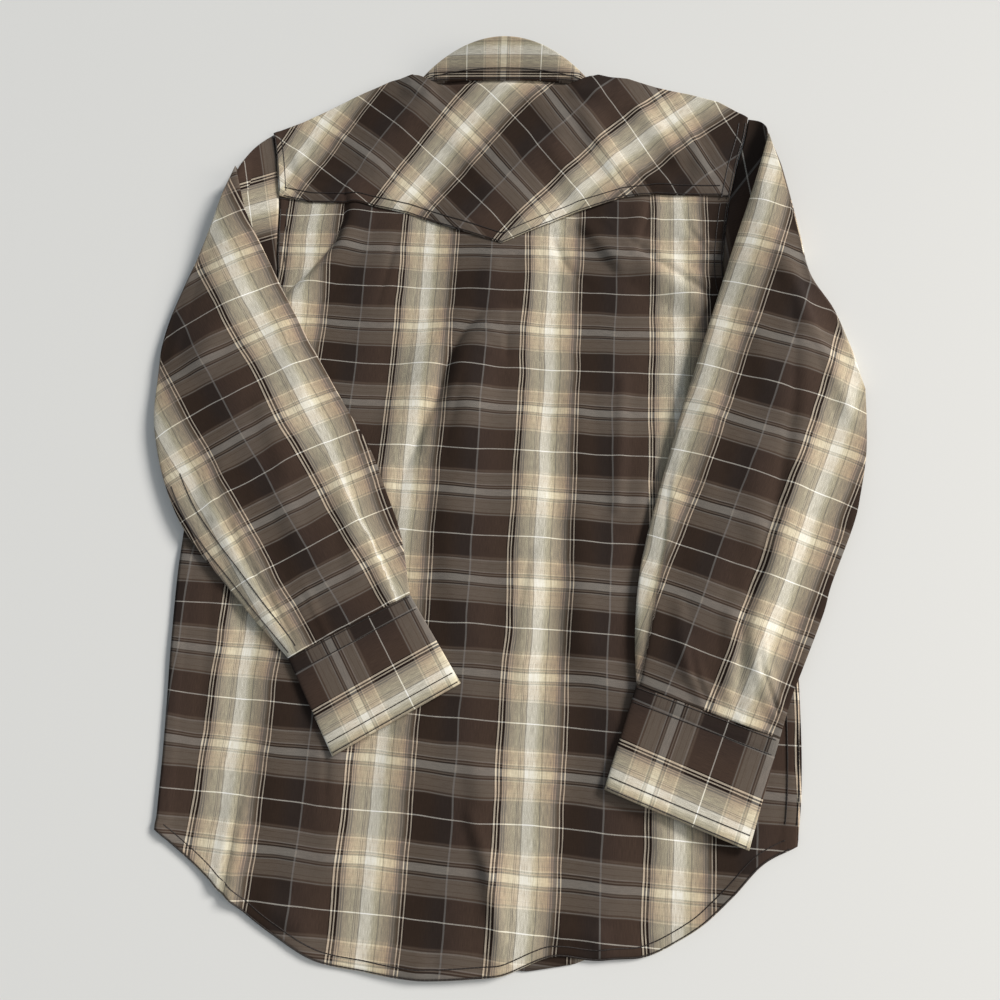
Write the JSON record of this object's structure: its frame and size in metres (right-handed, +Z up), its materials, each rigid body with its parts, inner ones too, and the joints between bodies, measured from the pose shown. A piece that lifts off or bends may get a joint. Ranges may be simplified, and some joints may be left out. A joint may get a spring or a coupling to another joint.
{
  "type": "western snap shirt",
  "caption": "Long-sleeved western shirt in woven plaid, laid flat face down with its sleeves folded over its back, with a pointed back yoke and snap front.",
  "frame": {"origin": "under the middle of the laid shirt's box, on the surface that it lies on", "axes": "+Z up from the surface, +Y from the hem to the collar, +X to the right as seen from above"},
  "size_m": [0.5996, 0.7784, 0.0287],
  "materials": {
    "plaid_body": "soft matte yarn-dyed plaid cotton, brown, cream and grey",
    "plaid_yoke": "the same plaid cotton cut on the bias",
    "plaid_trim": "the same plaid cotton in two plies, topstitched in dark brown",
    "plaid_collar": "the same plaid cotton with the stripes running round the neck",
    "snap_pearl": "glossy pearl snap cap"
  },
  "bodies": {
    "root": {"front_left": "plaid_body", "front_right": "plaid_body", "placket": "plaid_trim", "back": "plaid_body", "yoke": "plaid_yoke", "collar_stand": "plaid_collar", "collar_leaf": "plaid_collar", "sleeve_left": "plaid_body", "cuff_left": "plaid_trim", "cuff_left_snap_1": "snap_pearl", "cuff_left_snap_2": "snap_pearl", "sleeve_right": "plaid_body", "cuff_right": "plaid_trim", "cuff_right_snap_1": "snap_pearl", "cuff_right_snap_2": "snap_pearl", "snap_1": "snap_pearl", "snap_2": "snap_pearl", "snap_3": "snap_pearl", "snap_4": "snap_pearl", "snap_5": "snap_pearl", "snap_6": "snap_pearl", "snap_7": "snap_pearl"}
  },
  "joints": []
}
